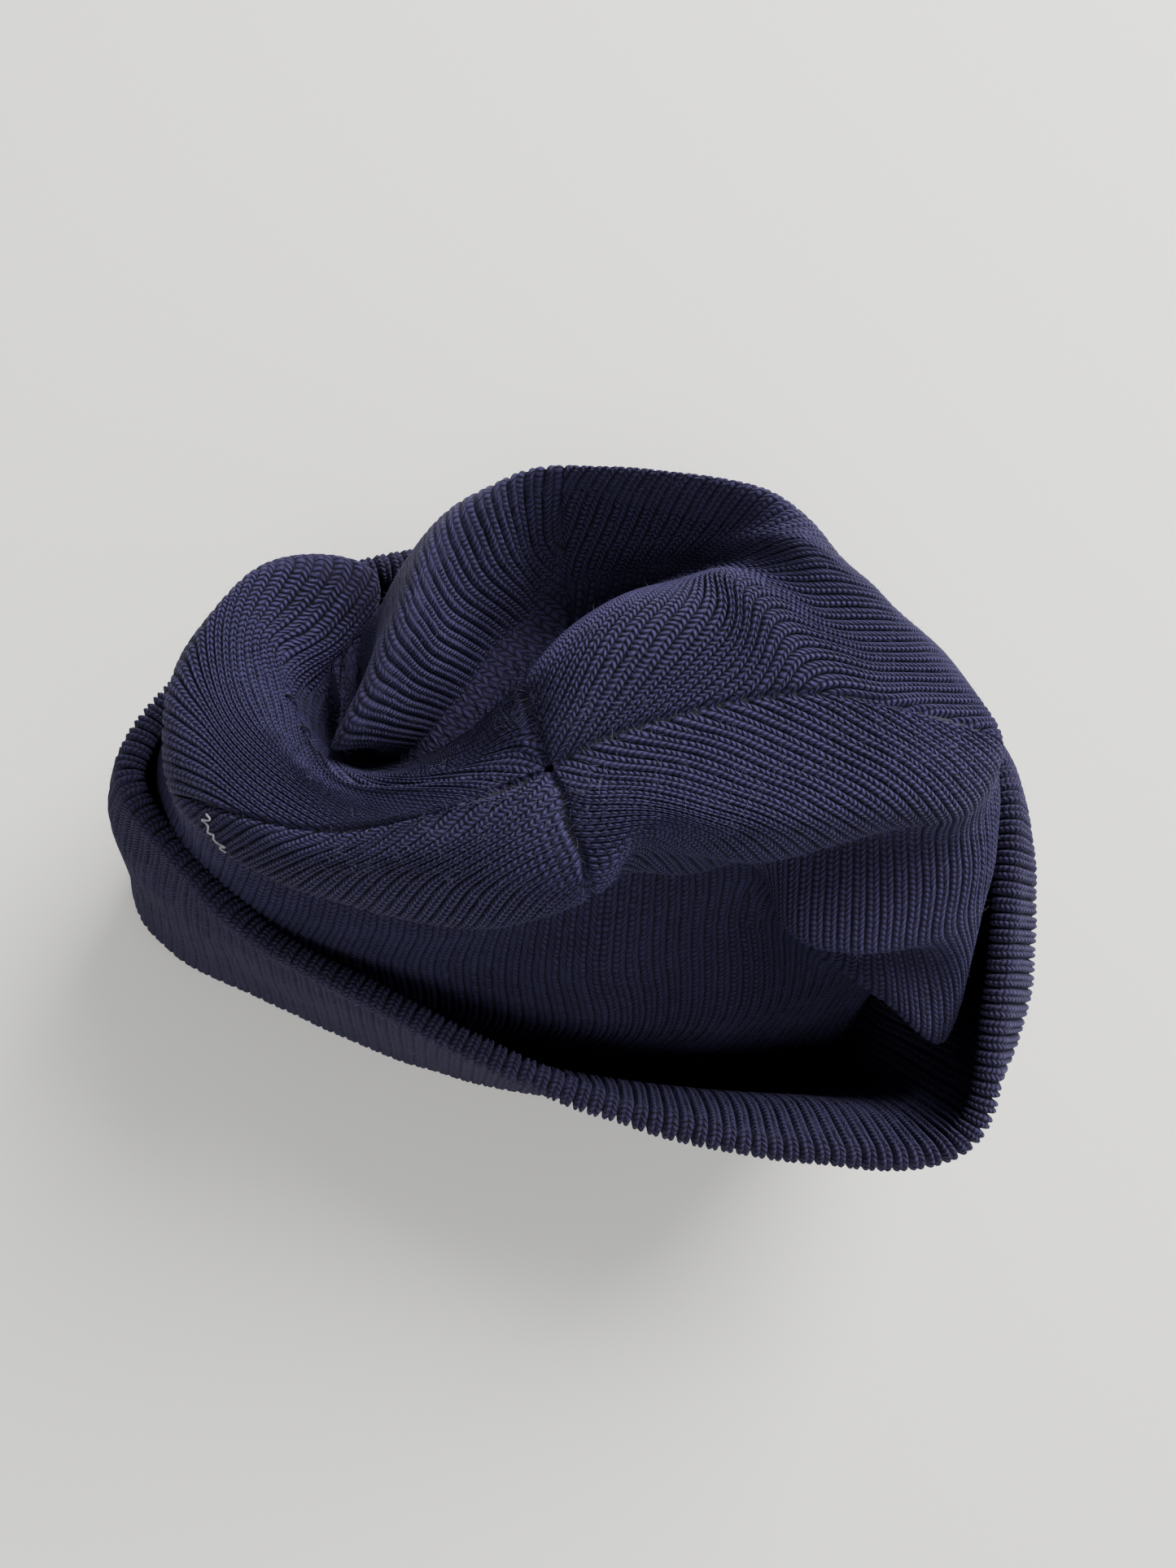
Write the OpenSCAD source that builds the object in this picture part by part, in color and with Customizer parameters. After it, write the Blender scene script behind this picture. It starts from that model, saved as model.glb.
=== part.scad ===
// Knitted watch cap: a double layered rib knit tube, closed at the crown with four darts,
// turned up into a cuff, and lying slumped on a flat surface.
// The shape is a skin drawn through rings of points that go up the cap from the lower fold
// to the tip of the crown. Every ply of the knit is an offset of that skin.

/* [Knit] */
// Thickness of one ply of the rib knit
ply = 1.6; // [1.2:0.1:1.8]
// Space between the two plies of the cuff
ply_gap = 0.2; // [0.1:0.1:0.4]
// Space between the wall and its lining
lining_gap = 0.4; // [0.3:0.1:0.6]
// Half of the space left inside the lower fold
fold_gap = 0.6; // [0.4:0.1:0.8]

/* [Cuff] */
// How near to the rim the cuff swells most; above that it leans inwards
cuff_lean = 2.4; // [1.2:0.2:2.8]
// Radius of the empty loop inside the rolled rim
rim_loop = 1.2; // [0.8:0.1:1.6]
// Height at which the two plies of the cuff begin to part below the rim
rim_flare = 10; // [6:1:16]

/* [Crown] */
// Half of the groove that each crown seam lies in
seam_groove = 0.9; // [0.8:0.1:1.2]
// Radius of the overlocked seam ridge
seam_radius = 0.7; // [0.5:0.05:0.7]
// Radius of the loose end of sewing thread
thread_radius = 0.4; // [0.3:0.05:0.5]

/* [Smoothness] */
// Columns of facets round the cap and its lining
columns = 66; // [44:22:88]
// Columns of facets round the folds and the rim
fold_columns = 60; // [40:4:72]

/* [Hidden] */

navy = [0.15, 0.15, 0.24];
navy_dark = [0.11, 0.11, 0.18];
navy_light = [0.19, 0.19, 0.30];
thread_colour = [0.62, 0.62, 0.66];

// Each ring has a point for each of 22 lines that run up the cap. Line 0 is the right seam,
// 4 the back seam, 13 the left seam and 17 the front seam; +X is right and +Y is the back.
lines = 22;
right_line = 0;
back_line = 4;
left_line = 13;
front_line = 17;

// Middle of the lower fold, where the cap turns up into the cuff
fold_ring = [
    [75, -7, 4], [71, 13, 4], [58, 29, 4], [35, 40, 4], [10, 44, 4], [-6, 45, 4],
    [-21, 43, 4], [-35, 39, 4], [-47, 34, 4], [-58, 27, 4], [-67, 20, 4], [-76, 12, 4],
    [-84, 2, 4], [-89, -12, 4], [-80, -24, 4], [-59, -34, 4], [-34, -45, 4], [-9, -52, 4],
    [17, -55, 4], [41, -54, 4], [62, -47, 4], [73, -29, 4]
];
// Wall of the cap, half way up inside the cuff
wall_ring = [
    [78, -5, 34], [79, 17, 34], [65, 34, 34], [41, 45, 34], [9, 48, 34], [-8, 48, 34],
    [-22, 46, 34], [-33, 42, 34], [-42, 39, 34], [-50, 36, 34], [-57, 32, 34], [-67, 25, 34],
    [-77, 12, 34], [-75, -6, 34], [-61, -23, 28], [-38, -34, 26], [-13, -41, 26], [12, -43, 26],
    [33, -41, 28], [50, -36, 28], [68, -28, 29], [79, -23, 32]
];
// Lowest flap of cloth at the front right, which hangs over the gap
flap_ring = [
    [79, -3, 50], [80, 19, 48], [67, 36, 48], [43, 47, 48], [8, 51, 48], [-9, 50, 48],
    [-22, 46, 48], [-32, 41, 46], [-39, 37, 44], [-46, 35, 42], [-51, 33, 44], [-62, 28, 46],
    [-72, 16, 46], [-70, -3, 46], [-57, -19, 42], [-34, -27, 42], [-10, -29, 42], [11, -29, 42],
    [33, -20, 41], [43, -18, 40], [63, -35, 51], [76, -41, 46]
];
// Recess between that flap and the fold above it
pinch_ring = [
    [79, -2, 58], [79, 20, 54], [64, 36, 55], [42, 48, 55], [8, 52, 55], [-9, 50, 55],
    [-22, 46, 55], [-31, 39, 52], [-37, 36, 48], [-43, 34, 44], [-48, 34, 49], [-60, 29, 52],
    [-69, 17, 52], [-67, -1, 52], [-54, -17, 47], [-32, -23, 48], [-10, -24, 48], [12, -16, 50],
    [35, -9, 51], [47, -15, 51], [61, -21, 57], [76, -29, 57]
];
// Second fold under the front lip
bulge_ring = [
    [80, -1, 66], [78, 20, 60], [61, 36, 62], [41, 48, 62], [7, 52, 62], [-9, 50, 62],
    [-21, 45, 62], [-30, 37, 58], [-35, 33, 52], [-40, 34, 46], [-45, 36, 54], [-57, 31, 58],
    [-66, 19, 58], [-65, 1, 58], [-51, -15, 52], [-31, -19, 53], [-9, -19, 54], [13, -8, 57],
    [36, -5, 58], [44, -22, 62], [60, -25, 64], [75, -17, 67]
];
// Tuck between the second fold and the lip
tuck_ring = [
    [79, 7, 70], [74, 22, 70], [57, 37, 73], [38, 50, 77], [5, 54, 76], [-8, 52, 76],
    [-19, 45, 76], [-27, 33, 70], [-31, 21, 60], [-36, 33, 50], [-38, 43, 58], [-49, 41, 64],
    [-63, 25, 67], [-62, 1, 66], [-45, -5, 64], [-27, -5, 64], [-6, -3, 64], [12, -8, 69],
    [28, -12, 69], [44, -3, 68], [58, -4, 71], [72, -6, 73]
];
// Lip at the front and highest edge at the back
ridge_ring = [
    [77, 11, 76], [66, 24, 79], [50, 37, 87], [36, 49, 88], [5, 53, 86], [-7, 48, 88],
    [-15, 40, 90], [-21, 26, 90], [-33, 8, 80], [-33, 27, 54], [-29, 43, 62], [-48, 41, 72],
    [-61, 20, 74], [-60, 1, 74], [-47, -11, 76], [-28, -18, 77], [-7, -21, 78], [10, -16, 82],
    [19, -9, 84], [36, -11, 82], [55, -6, 82], [68, -2, 84]
];
// Inside of the back edge and top of the front lip
inner_ring = [
    [62, 14, 83], [49, 27, 87], [40, 39, 92], [28, 44, 78], [4, 45, 70], [-4, 41, 76],
    [-12, 34, 78], [-18, 21, 78], [-28, 9, 72], [-38, 26, 57], [-36, 31, 58], [-49, 31, 73],
    [-54, 16, 78], [-47, -3, 84], [-35, -11, 86], [-21, -13, 88], [-6, -15, 90], [9, -14, 91],
    [18, -7, 92], [31, -7, 91], [46, -4, 90], [58, 3, 90]
];
// Valley behind the crown, and the pocket on its left
valley_ring = [
    [45, 15, 90], [32, 32, 96], [25, 38, 76], [14, 38, 63], [4, 33, 57], [-1, 29, 57],
    [-6, 24, 57], [-14, 16, 57], [-24, 10, 57], [-37, 12, 50], [-43, 20, 67], [-43, 21, 69],
    [-43, 10, 82], [-31, -6, 88], [-25, -9, 90], [-15, -10, 92], [-4, -10, 94], [8, -10, 94],
    [18, -5, 95], [28, -4, 94], [36, 0, 93], [43, 6, 91]
];
// Edge of the raised crown
boss_ring = [
    [27, 12, 94], [28, 24, 97], [15, 27, 99], [5, 22, 97], [-1, 16, 94], [-3, 13, 92],
    [-6, 11, 90], [-10, 7, 88], [-16, 4, 86], [-22, 3, 84], [-27, 2, 84], [-30, 2, 85],
    [-27, 0, 87], [-17, -4, 92], [-13, -4, 93], [-7, -6, 94], [-1, -6, 95], [6, -6, 95],
    [13, -3, 96], [19, 0, 96], [23, 3, 95], [26, 7, 95]
];
// Crown round the meeting point of the seams
centre_ring = [
    [11, 7, 95], [11, 10, 96], [8, 11, 98], [4, 10, 97], [1, 9, 95], [0, 8, 94],
    [-1, 7, 94], [-2, 6, 93], [-3, 5, 93], [-3, 4, 93], [-4, 3, 93], [-4, 2, 94],
    [-4, 1, 94], [-4, 0, 94], [-2, -1, 95], [0, -1, 95], [2, -1, 95], [5, -1, 95],
    [8, -1, 96], [10, 1, 96], [11, 2, 96], [11, 5, 95]
];
// Meeting point of the four seams
tip = [3, 3, 93];
// Middle of the rolled rim of the cuff
rim_ring = [
    [85, 1, 56], [83, 20, 42], [72, 36, 40], [52, 49, 44], [29, 56, 50], [12, 59, 54],
    [-5, 58, 53], [-20, 50, 50], [-35, 46, 50], [-49, 40, 50], [-60, 31, 50], [-69, 23, 49],
    [-76, 14, 48], [-77, 5, 48], [-67, -8, 48], [-52, -22, 48], [-29, -34, 49], [-4, -46, 51],
    [22, -55, 52], [50, -60, 53], [74, -58, 55], [81, -37, 57]
];
// Ring number, counted up from the lower fold, at which the darts begin on each line
dart_foot = [
    6.0, 6.3, 7.0, 6.8, 6.4, 6.5, 6.5, 6.5, 6.6, 7.0, 6.6,
    6.2, 6.1, 6.2, 5.9, 5.4, 5.0, 5.0, 5.0, 5.0, 5.2, 5.6
];
// How far the cuff swells outwards on each line
cuff_swell = [7.5, 5, 5, 5, 5, 4, 4, 4, 4, 4, 4, 3, 3, 3, 2, 1, 0, -1, -4, -5, -1, 9];
// Route of the loose thread at the end of the left seam: line and ring numbers on the skin
thread_route = [
    [13.1, 6.6], [13.2, 6.5], [13.3, 6.42], [13.4, 6.38], [13.5, 6.37], [13.6, 6.33], [13.7, 6.25]
];

rings = [
    fold_ring, wall_ring, flap_ring, pinch_ring, bulge_ring, tuck_ring, ridge_ring,
    inner_ring, valley_ring, boss_ring, centre_ring, [for (i = [1:lines]) tip]
];
last = len(rings) - 1;
// Where the plies stop, just short of the tip
crown_top = 10.5;
seam_top = 10.8;
// Moves the middle of the cap's outline on the surface to the origin
to_origin = [-0.4, 0.95, 0];

// A smooth curve through b and c
function blend(a, b, c, d, t) =
    0.5 * (2 * b + (c - a) * t + (2 * a - 5 * b + 4 * c - d) * t * t
        + (3 * b - a - 3 * c + d) * t * t * t);
function on_ring(ring, s) =
    let (i = floor(s), t = s - i, n = len(ring))
    blend(ring[(i + n - 1) % n], ring[(i + n) % n], ring[(i + 1) % n], ring[(i + 2) % n], t);
function ring_at(k, s) =
    k < 0 ? 2 * on_ring(rings[0], s) - on_ring(rings[1], s)
    : k > last ? 2 * on_ring(rings[last], s) - on_ring(rings[last - 1], s)
    : on_ring(rings[k], s);
function skin(s, v) =
    let (k = min(floor(v), last - 1))
    blend(ring_at(k - 1, s), ring_at(k, s), ring_at(k + 1, s), ring_at(k + 2, s), v - k);
function unit(a) = norm(a) < 1e-6 ? [0, 0, 1] : a / norm(a);
reach = 0.25;
function along(s, v) = unit(skin(s + reach, v) - skin(s + lines - reach, v));
function outward(s, v) =
    unit(cross(along(s, v), skin(s, min(v + reach, last)) - skin(s, max(v - reach, 0))));
// A point of the body, a given depth under the skin; the foot of the wall is kept upright
function flat_out(ring, s) =
    let (d = on_ring(ring, s + reach) - on_ring(ring, s + lines - reach)) unit([d.y, -d.x, 0]);
function body_point(s, v, depth) =
    let (upright = max(0, 1 - v),
         n = unit(outward(s, v) * (1 - upright) + flat_out(fold_ring, s) * upright))
    skin(s, v) - n * (depth + fold_gap * upright);

// Height round the cuff, from 0 at the lower fold to 1 at the rim
function cuff_middle(s, t) =
    let (foot = on_ring(fold_ring, s) + flat_out(fold_ring, s) * (fold_gap + ply + ply_gap / 2),
         top = on_ring(rim_ring, s))
    foot * (1 - t) + top * t
        + flat_out(rim_ring, s) * on_ring(cuff_swell, s) * sin(180 * pow(t, cuff_lean));
function cuff_out(s, t) =
    unit(cross(cuff_middle(s + reach, t) - cuff_middle(s + lines - reach, t),
        cuff_middle(s, t + 0.03) - cuff_middle(s, max(t - 0.03, 0))));
function cuff_up(s, t) = unit(cuff_middle(s, t) - cuff_middle(s, t - 0.03));
// Half of the space between the plies, which opens below the rim
cuff_slant = 60;
function half_gap(t) =
    let (f = max(0, 1 - (1 - t) * cuff_slant / rim_flare))
    ply_gap / 2 + (rim_loop - ply_gap / 2) * f * f;

// A closed sheet between two grids of points, round the cap or between two edges
module sheet(outer, inner, round = true) {
    rows = len(outer);
    cols = len(outer[0]);
    total = rows * cols;
    steps = round ? cols : cols - 1;
    function at(r, c) = r * cols + c % cols;
    points = concat([for (row = outer) each row], [for (row = inner) each row]);
    faces = concat(
        [for (r = [0:rows - 2], c = [0:steps - 1]) each [
            [at(r, c), at(r + 1, c), at(r + 1, c + 1)],
            [at(r, c), at(r + 1, c + 1), at(r, c + 1)],
            [total + at(r, c), total + at(r + 1, c + 1), total + at(r + 1, c)],
            [total + at(r, c), total + at(r, c + 1), total + at(r + 1, c + 1)]
        ]],
        [for (c = [0:steps - 1]) each [
            [at(0, c), at(0, c + 1), total + at(0, c + 1)],
            [at(0, c), total + at(0, c + 1), total + at(0, c)],
            [at(rows - 1, c), total + at(rows - 1, c + 1), at(rows - 1, c + 1)],
            [at(rows - 1, c), total + at(rows - 1, c), total + at(rows - 1, c + 1)]
        ]],
        round ? [] : [for (r = [0:rows - 2]) each [
            [at(r, 0), total + at(r, 0), total + at(r + 1, 0)],
            [at(r, 0), total + at(r + 1, 0), at(r + 1, 0)],
            [at(r, cols - 1), total + at(r + 1, cols - 1), total + at(r, cols - 1)],
            [at(r, cols - 1), at(r + 1, cols - 1), total + at(r + 1, cols - 1)]
        ]]
    );
    translate(to_origin) polyhedron(points = points, faces = faces, convexity = 10);
}

// A closed ring swept through a row of closed outlines that go round the cap
module swept_ring(outlines) {
    m = len(outlines[0]);
    n = len(outlines);
    faces = [for (i = [0:n - 1], j = [0:m - 1])
        let (a = i * m + j, b = i * m + (j + 1) % m,
             c = ((i + 1) % n) * m + j, d = ((i + 1) % n) * m + (j + 1) % m)
        each [[a, c, d], [a, d, b]]];
    translate(to_origin)
        polyhedron(points = [for (o = outlines) each o], faces = faces, convexity = 10);
}

// A capped tube swept along a route of points
module tube(route, radius, sides) {
    n = len(route);
    function heading(i) = unit(route[min(i + 1, n - 1)] - route[max(i - 1, 0)]);
    function side(i) = unit(cross(heading(i), [0.3, 0.2, 1]));
    points = [for (i = [0:n - 1], a = [0:sides - 1])
        let (h = heading(i), x = side(i), y = cross(x, h), w = a * 360 / sides)
        route[i] + radius * (x * cos(w) + y * sin(w))];
    walls = [for (i = [0:n - 2], a = [0:sides - 1])
        let (p = i * sides + a, q = i * sides + (a + 1) % sides)
        each [[p, q, q + sides], [p, q + sides, p + sides]]];
    translate(to_origin) polyhedron(points = points, faces = concat(walls,
        [[for (a = [sides - 1:-1:0]) a]],
        [[for (a = [0:sides - 1]) (n - 1) * sides + a]]), convexity = 6);
}

// U shaped outline across the lower fold or the rim, between two radii
arc_steps = 5;
// Makes the lowest facets of the fold, which are flat, touch the surface
flat_foot = 1 / cos(90 / arc_steps);
function u_outline(middle, out, up, inside, outside) = concat(
    [for (k = [0:arc_steps]) let (w = 180 * k / arc_steps)
        middle + outside * (out * cos(w) + up * sin(w))],
    [for (k = [arc_steps:-1:0]) let (w = 180 * k / arc_steps)
        middle + inside * (out * cos(w) + up * sin(w))]);

module lower_fold(inside) {
    swept_ring([for (c = [fold_columns - 1:-1:0]) let (s = c * lines / fold_columns)
        u_outline(on_ring(fold_ring, s), flat_out(fold_ring, s), [0, 0, -flat_foot],
            inside, inside + ply)]);
}

cuff_rows = 7;
module cuff_ply(side) {
    near = [for (r = [0:cuff_rows]) [for (c = [0:fold_columns - 1])
        let (s = c * lines / fold_columns, t = r / cuff_rows)
        cuff_middle(s, t) + cuff_out(s, t) * side * half_gap(t)]];
    far = [for (r = [0:cuff_rows]) [for (c = [0:fold_columns - 1])
        let (s = c * lines / fold_columns, t = r / cuff_rows)
        cuff_middle(s, t) + cuff_out(s, t) * side * (half_gap(t) + ply)]];
    if (side > 0) sheet(far, near); else sheet(near, far);
}

function foot_at(s) = on_ring(dart_foot, s);
body_rows = 12;
module body_wall() {
    color(navy_dark) sheet(
        [for (r = [0:body_rows]) [for (c = [0:columns - 1]) let (s = c * lines / columns)
            body_point(s, foot_at(s) * r / body_rows, 0)]],
        [for (r = [0:body_rows]) [for (c = [0:columns - 1]) let (s = c * lines / columns)
            body_point(s, foot_at(s) * r / body_rows, ply)]]);
}

gore_rows = 10;
module gore(first, after) {
    steps = round(columns * (after - first) / lines);
    function row_at(s, r) = foot_at(s) + (crown_top - foot_at(s)) * r / gore_rows;
    // The gore narrows to leave a groove for the seam along each edge
    function point(c, r, depth) =
        let (s = first + (after - first) * c / steps, v = row_at(s, r))
        body_point(s, v, depth) + along(s, v) * seam_groove * (1 - 2 * c / steps);
    sheet([for (r = [0:gore_rows]) [for (c = [0:steps]) point(c, r, 0)]],
          [for (r = [0:gore_rows]) [for (c = [0:steps]) point(c, r, ply)]], round = false);
}

seam_steps = 20;
module crown_seam(s) {
    color(navy_dark) tube([for (k = [0:seam_steps])
        let (v = foot_at(s) + (seam_top - foot_at(s)) * k / seam_steps)
        body_point(s, v, ply / 2)], seam_radius, 6);
}

// Sheet of lining under the skin, between two heights on each line
module lining(rows, low, high) {
    function layer(depth) = [for (r = [0:rows]) [for (c = [0:columns - 1])
        let (s = c * lines / columns, v = low(s) + (high(s) - low(s)) * r / rows)
        body_point(s, v, depth)]];
    sheet(layer(ply + lining_gap), layer(2 * ply + lining_gap));
}

module lower_fold_outer() { color(navy) lower_fold(fold_gap + ply + ply_gap); }
module lower_fold_inner() { color(navy_dark) lower_fold(fold_gap); }
module cuff_outer() { color(navy) cuff_ply(1); }
module cuff_inner() { color(navy_dark) cuff_ply(-1); }
module cuff_rim() {
    color(navy_light) swept_ring([for (c = [0:fold_columns - 1]) let (s = c * lines / fold_columns)
        u_outline(cuff_middle(s, 1), cuff_out(s, 1), cuff_up(s, 1), rim_loop, rim_loop + ply)]);
}
module gore_back_right() { color(navy_light) gore(right_line, back_line); }
module gore_back_left() { color(navy) gore(back_line, left_line); }
module gore_front_left() { color(navy_light) gore(left_line, front_line); }
module gore_front_right() { color(navy) gore(front_line, lines); }
module crown_seam_right() { crown_seam(right_line); }
module crown_seam_back() { crown_seam(back_line); }
module crown_seam_left() { crown_seam(left_line); }
module crown_seam_front() { crown_seam(front_line); }
module lining_wall() {
    color(navy_dark) lining(body_rows, function (s) 0, function (s) foot_at(s));
}
module lining_crown() {
    color(navy_dark) lining(gore_rows, function (s) foot_at(s), function (s) crown_top);
}
module thread_tail() {
    color(thread_colour) tube([for (p = thread_route)
        skin(p[0], p[1]) + outward(p[0], p[1]) * (thread_radius + 0.2)], thread_radius, 6);
}

lower_fold_outer();
lower_fold_inner();
cuff_outer();
cuff_inner();
cuff_rim();
body_wall();
gore_back_right();
gore_back_left();
gore_front_left();
gore_front_right();
crown_seam_right();
crown_seam_back();
crown_seam_left();
crown_seam_front();
lining_wall();
lining_crown();
thread_tail();
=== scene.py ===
"""Rib-knit watch cap with a turned-up cuff, lying slumped on a plain floor."""
import math

import bmesh
import bpy
import numpy as np
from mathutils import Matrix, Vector


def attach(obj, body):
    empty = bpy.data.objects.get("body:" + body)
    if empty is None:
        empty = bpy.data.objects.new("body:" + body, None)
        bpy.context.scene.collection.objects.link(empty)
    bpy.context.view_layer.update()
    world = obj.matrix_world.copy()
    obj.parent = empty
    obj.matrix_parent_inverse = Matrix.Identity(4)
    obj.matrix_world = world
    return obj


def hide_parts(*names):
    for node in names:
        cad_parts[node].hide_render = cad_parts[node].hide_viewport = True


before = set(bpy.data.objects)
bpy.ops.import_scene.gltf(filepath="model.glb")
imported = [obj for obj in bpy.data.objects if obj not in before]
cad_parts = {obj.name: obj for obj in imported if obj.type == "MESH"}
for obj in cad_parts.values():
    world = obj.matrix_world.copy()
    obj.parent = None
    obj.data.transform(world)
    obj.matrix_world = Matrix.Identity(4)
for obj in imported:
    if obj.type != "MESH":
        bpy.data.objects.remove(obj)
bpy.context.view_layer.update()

MM = 0.001
BODY = "root"

# ---------------------------------------------------------------- the cap's skin
# The same rings of points, in millimetres, that the CAD part is drawn through. Each ring has
# a point for each of 22 lines that run up the cap: 0 is the right seam, 4 the back seam,
# 13 the left seam and 17 the front seam. +X is right and +Y is the back.
LINES = 22
SEAM_LINES = (0, 4, 13, 17, 22)
TO_ORIGIN = (-0.4, 0.95, 0.0)
FOLD_RING = (
    (75, -7, 4), (71, 13, 4), (58, 29, 4), (35, 40, 4), (10, 44, 4), (-6, 45, 4),
    (-21, 43, 4), (-35, 39, 4), (-47, 34, 4), (-58, 27, 4), (-67, 20, 4), (-76, 12, 4),
    (-84, 2, 4), (-89, -12, 4), (-80, -24, 4), (-59, -34, 4), (-34, -45, 4), (-9, -52, 4),
    (17, -55, 4), (41, -54, 4), (62, -47, 4), (73, -29, 4))
WALL_RING = (
    (78, -5, 34), (79, 17, 34), (65, 34, 34), (41, 45, 34), (9, 48, 34), (-8, 48, 34),
    (-22, 46, 34), (-33, 42, 34), (-42, 39, 34), (-50, 36, 34), (-57, 32, 34), (-67, 25, 34),
    (-77, 12, 34), (-75, -6, 34), (-61, -23, 28), (-38, -34, 26), (-13, -41, 26), (12, -43, 26),
    (33, -41, 28), (50, -36, 28), (68, -28, 29), (79, -23, 32))
FLAP_RING = (
    (79, -3, 50), (80, 19, 48), (67, 36, 48), (43, 47, 48), (8, 51, 48), (-9, 50, 48),
    (-22, 46, 48), (-32, 41, 46), (-39, 37, 44), (-46, 35, 42), (-51, 33, 44), (-62, 28, 46),
    (-72, 16, 46), (-70, -3, 46), (-57, -19, 42), (-34, -27, 42), (-10, -29, 42), (11, -29, 42),
    (33, -20, 41), (43, -18, 40), (63, -35, 51), (76, -41, 46))
PINCH_RING = (
    (79, -2, 58), (79, 20, 54), (64, 36, 55), (42, 48, 55), (8, 52, 55), (-9, 50, 55),
    (-22, 46, 55), (-31, 39, 52), (-37, 36, 48), (-43, 34, 44), (-48, 34, 49), (-60, 29, 52),
    (-69, 17, 52), (-67, -1, 52), (-54, -17, 47), (-32, -23, 48), (-10, -24, 48), (12, -16, 50),
    (35, -9, 51), (47, -15, 51), (61, -21, 57), (76, -29, 57))
BULGE_RING = (
    (80, -1, 66), (78, 20, 60), (61, 36, 62), (41, 48, 62), (7, 52, 62), (-9, 50, 62),
    (-21, 45, 62), (-30, 37, 58), (-35, 33, 52), (-40, 34, 46), (-45, 36, 54), (-57, 31, 58),
    (-66, 19, 58), (-65, 1, 58), (-51, -15, 52), (-31, -19, 53), (-9, -19, 54), (13, -8, 57),
    (36, -5, 58), (44, -22, 62), (60, -25, 64), (75, -17, 67))
TUCK_RING = (
    (79, 7, 70), (74, 22, 70), (57, 37, 73), (38, 50, 77), (5, 54, 76), (-8, 52, 76),
    (-19, 45, 76), (-27, 33, 70), (-31, 21, 60), (-36, 33, 50), (-38, 43, 58), (-49, 41, 64),
    (-63, 25, 67), (-62, 1, 66), (-45, -5, 64), (-27, -5, 64), (-6, -3, 64), (12, -8, 69),
    (28, -12, 69), (44, -3, 68), (58, -4, 71), (72, -6, 73))
RIDGE_RING = (
    (77, 11, 76), (66, 24, 79), (50, 37, 87), (36, 49, 88), (5, 53, 86), (-7, 48, 88),
    (-15, 40, 90), (-21, 26, 90), (-33, 8, 80), (-33, 27, 54), (-29, 43, 62), (-48, 41, 72),
    (-61, 20, 74), (-60, 1, 74), (-47, -11, 76), (-28, -18, 77), (-7, -21, 78), (10, -16, 82),
    (19, -9, 84), (36, -11, 82), (55, -6, 82), (68, -2, 84))
INNER_RING = (
    (62, 14, 83), (49, 27, 87), (40, 39, 92), (28, 44, 78), (4, 45, 70), (-4, 41, 76),
    (-12, 34, 78), (-18, 21, 78), (-28, 9, 72), (-38, 26, 57), (-36, 31, 58), (-49, 31, 73),
    (-54, 16, 78), (-47, -3, 84), (-35, -11, 86), (-21, -13, 88), (-6, -15, 90), (9, -14, 91),
    (18, -7, 92), (31, -7, 91), (46, -4, 90), (58, 3, 90))
VALLEY_RING = (
    (45, 15, 90), (32, 32, 96), (25, 38, 76), (14, 38, 63), (4, 33, 57), (-1, 29, 57),
    (-6, 24, 57), (-14, 16, 57), (-24, 10, 57), (-37, 12, 50), (-43, 20, 67), (-43, 21, 69),
    (-43, 10, 82), (-31, -6, 88), (-25, -9, 90), (-15, -10, 92), (-4, -10, 94), (8, -10, 94),
    (18, -5, 95), (28, -4, 94), (36, 0, 93), (43, 6, 91))
BOSS_RING = (
    (27, 12, 94), (28, 24, 97), (15, 27, 99), (5, 22, 97), (-1, 16, 94), (-3, 13, 92),
    (-6, 11, 90), (-10, 7, 88), (-16, 4, 86), (-22, 3, 84), (-27, 2, 84), (-30, 2, 85),
    (-27, 0, 87), (-17, -4, 92), (-13, -4, 93), (-7, -6, 94), (-1, -6, 95), (6, -6, 95),
    (13, -3, 96), (19, 0, 96), (23, 3, 95), (26, 7, 95))
CENTRE_RING = (
    (11, 7, 95), (11, 10, 96), (8, 11, 98), (4, 10, 97), (1, 9, 95), (0, 8, 94),
    (-1, 7, 94), (-2, 6, 93), (-3, 5, 93), (-3, 4, 93), (-4, 3, 93), (-4, 2, 94),
    (-4, 1, 94), (-4, 0, 94), (-2, -1, 95), (0, -1, 95), (2, -1, 95), (5, -1, 95),
    (8, -1, 96), (10, 1, 96), (11, 2, 96), (11, 5, 95))
TIP = (3, 3, 93)
RIM_RING = (
    (85, 1, 56), (83, 20, 42), (72, 36, 40), (52, 49, 44), (29, 56, 50), (12, 59, 54),
    (-5, 58, 53), (-20, 50, 50), (-35, 46, 50), (-49, 40, 50), (-60, 31, 50), (-69, 23, 49),
    (-76, 14, 48), (-77, 5, 48), (-67, -8, 48), (-52, -22, 48), (-29, -34, 49), (-4, -46, 51),
    (22, -55, 52), (50, -60, 53), (74, -58, 55), (81, -37, 57))
# Ring number, from the lower fold up, at which the darts begin on each line
DART_FOOT = (6.0, 6.3, 7.0, 6.8, 6.4, 6.5, 6.5, 6.5, 6.6, 7.0, 6.6,
             6.2, 6.1, 6.2, 5.9, 5.4, 5.0, 5.0, 5.0, 5.0, 5.2, 5.6)
# How far the cuff swells outwards on each line
CUFF_SWELL = (7.5, 5, 5, 5, 5, 4, 4, 4, 4, 4, 4, 3, 3, 3, 2, 1, 0, -1, -4, -5, -1, 9)
CUFF_LEAN = 2.4

# ---------------------------------------------------------------- knit
WALES = 168                          # ribs round the cap
SECTOR_WALES = (40, 54, 34, 40)      # ribs between each two seams
SECTOR_PITCH = (2.4, 2.6, 2.4, 2.3)  # mm from rib to rib where the darts narrow the cap
COURSE = 1.0                         # mm from one row of stitches to the next
DART_HEIGHT = 70.0                   # mm up a gore's middle, from the foot of the darts to the tip
DART_SLANT = 0.3                     # how much longer the rows get towards a seam

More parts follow.
